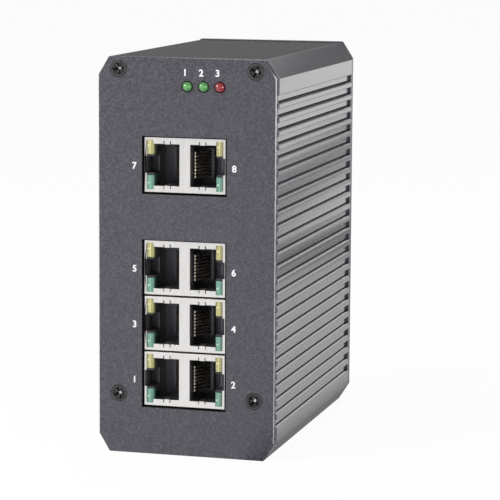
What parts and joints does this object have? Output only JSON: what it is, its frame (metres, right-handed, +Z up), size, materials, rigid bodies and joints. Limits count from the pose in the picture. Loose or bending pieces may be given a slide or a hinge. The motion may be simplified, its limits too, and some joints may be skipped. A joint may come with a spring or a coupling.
{
  "type": "din rail ethernet switch",
  "caption": "Upright rail-mounted network switch: ribbed extruded housing between bevelled end plates, with stacked sockets and indicator lights on the front.",
  "frame": {"origin": "on the underside, below the middle of the whole switch with its rail bracket and indicators", "axes": "+Z up; -Y is the way the front plate and its sockets face, +Y points to the rail; +X to the right seen from the front, along the rail"},
  "size_m": [0.056, 0.1076, 0.1203],
  "materials": {
    "housing_coat": "fine textured powder coat on extruded aluminium",
    "plate_coat": "fine textured powder coat on aluminium sheet",
    "black_steel": "black oxide",
    "zinc_steel": "bright zinc plating",
    "nickel_sheet": "nickel-plated sheet",
    "black_moulding": "moulded, fine matt",
    "gold_plate": "gold-plated wire",
    "yellow_clear": "clear tinted moulding",
    "green_clear": "clear tinted moulding",
    "green_lens": "diffused lens",
    "red_lens": "diffused lens",
    "board_laminate": "solder mask over glass laminate",
    "chip_resin": "moulded resin",
    "can_aluminium": "drawn can",
    "terminal_moulding": "moulded, satin",
    "bracket_aluminium": "clear anodised extrusion",
    "spring_steel": "flat spring wire"
  },
  "bodies": {
    "root": {"housing": "housing_coat", "front_plate": "plate_coat", "rear_plate": "plate_coat", "front_screws": "black_steel", "rear_screws": "black_steel", "ground_screw": "zinc_steel", "bracket_screws": "zinc_steel", "jack_1_2_shield": "nickel_sheet", "jack_1_2_insert": "black_moulding", "jack_1_2_contacts": "gold_plate", "jack_1_2_yellow_lights": "yellow_clear", "jack_1_2_green_lights": "green_clear", "jack_3_4_shield": "nickel_sheet", "jack_3_4_insert": "black_moulding", "jack_3_4_contacts": "gold_plate", "jack_3_4_yellow_lights": "yellow_clear", "jack_3_4_green_lights": "green_clear", "jack_5_6_shield": "nickel_sheet", "jack_5_6_insert": "black_moulding", "jack_5_6_contacts": "gold_plate", "jack_5_6_yellow_lights": "yellow_clear", "jack_5_6_green_lights": "green_clear", "jack_7_8_shield": "nickel_sheet", "jack_7_8_insert": "black_moulding", "jack_7_8_contacts": "gold_plate", "jack_7_8_yellow_lights": "yellow_clear", "jack_7_8_green_lights": "green_clear", "power_led_1": "green_lens", "power_led_2": "green_lens", "alarm_led": "red_lens", "indicator_board": "board_laminate", "indicator_pin_strip": "black_moulding", "main_board": "board_laminate", "switch_chip": "chip_resin", "converter_chip": "chip_resin", "inductor": "chip_resin", "alarm_relay": "chip_resin", "crystal": "zinc_steel", "fuse": "chip_resin", "capacitors": "can_aluminium", "terminal_header": "terminal_moulding", "terminal_pins": "zinc_steel", "rail_bracket": "bracket_aluminium", "rail_spring": "spring_steel"}
  },
  "joints": []
}
